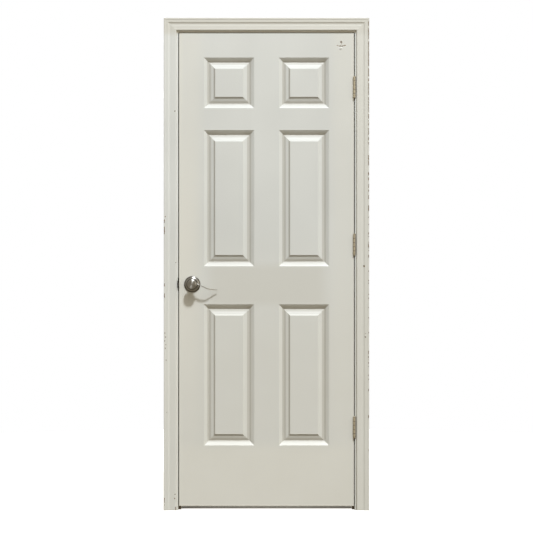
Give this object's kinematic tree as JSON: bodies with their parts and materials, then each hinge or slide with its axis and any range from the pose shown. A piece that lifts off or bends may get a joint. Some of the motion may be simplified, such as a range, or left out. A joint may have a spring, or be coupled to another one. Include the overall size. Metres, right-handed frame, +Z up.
{
  "type": "six-panel interior door with frame",
  "caption": "Moulded six-panel interior door in its jamb and casing, hung on butt hinges to open towards the viewer, with a lever handle that draws back a spring latch.",
  "frame": {"origin": "on the floor at the middle of the doorway, in the plane of the wall's face, which is the back of the casing and the front edge of the jambs", "axes": "+Z up, +Y into the wall, away from the side that the door opens to, +X to the hinge side"},
  "size_m": [0.882, 0.1741, 2.1155],
  "materials": {
    "door_paint": "satin off-white paint over a moulded fibreboard skin",
    "trim_paint": "satin off-white paint over softwood, chipped along its outer edges",
    "bare_wood": "planed softwood, unpainted",
    "core_card": "plain brown card",
    "dull_brass": "dull brass plate",
    "satin_nickel": "satin nickel, turned",
    "plated_steel": "zinc plate"
  },
  "bodies": {
    "frame": {"strike_jamb": "trim_paint", "hinge_jamb": "trim_paint", "head_jamb": "trim_paint", "strike_stop": "trim_paint", "hinge_stop": "trim_paint", "head_stop": "trim_paint", "strike_casing": "trim_paint", "hinge_casing": "trim_paint", "head_casing": "trim_paint", "hinge_top_frame_leaf": "dull_brass", "hinge_middle_frame_leaf": "dull_brass", "hinge_bottom_frame_leaf": "dull_brass", "hinge_top_pin": "dull_brass", "hinge_middle_pin": "dull_brass", "hinge_bottom_pin": "dull_brass", "hinge_frame_screws": "dull_brass", "strike_plate": "satin_nickel", "strike_screws": "satin_nickel", "casing_nails": "plated_steel", "stop_nails": "plated_steel", "head_nails": "plated_steel"},
    "door": {"front_skin": "door_paint", "rear_skin": "door_paint", "lock_stile": "trim_paint", "hinge_stile": "trim_paint", "top_rail": "bare_wood", "bottom_rail": "bare_wood", "lock_block": "bare_wood", "core_strips": "core_card", "hinge_top_door_leaf": "dull_brass", "hinge_middle_door_leaf": "dull_brass", "hinge_bottom_door_leaf": "dull_brass", "hinge_door_screws": "dull_brass", "latch_case": "plated_steel", "latch_faceplate": "satin_nickel", "latch_screws": "satin_nickel", "latch_spring": "plated_steel", "front_rose": "satin_nickel", "rear_rose": "satin_nickel", "front_mount_plate": "plated_steel", "rear_mount_plate": "plated_steel", "through_screws": "plated_steel", "front_return_spring": "plated_steel", "rear_return_spring": "plated_steel"},
    "handle": {"front_lever": "satin_nickel", "rear_lever": "satin_nickel", "spindle": "plated_steel", "latch_cam": "plated_steel", "lever_set_screws": "satin_nickel"},
    "latch_bolt": {"latch_bolt": "satin_nickel"}
  },
  "joints": [
    {"name": "door_swing", "type": "hinge", "parent": "frame", "child": "door", "pos_m": [0.37775, -0.0062, 1], "axis": [0, 0, 1], "range_deg": [0, 165]},
    {"name": "lever_turn", "type": "hinge", "parent": "door", "child": "handle", "pos_m": [-0.319, 0, 0.972], "axis": [0, 1, 0], "range_deg": [0, 50], "stiffness_Nm_per_rad": 1.5, "springref_deg": -20.05},
    {"name": "latch_slide", "type": "slide", "parent": "door", "child": "latch_bolt", "axis": [1, 0, 0], "range_m": [0, 0.0125]}
  ],
  "couplings": [
    {"joint": "latch_slide", "follows": "lever_turn", "m_per_rad": 0.0142}
  ]
}
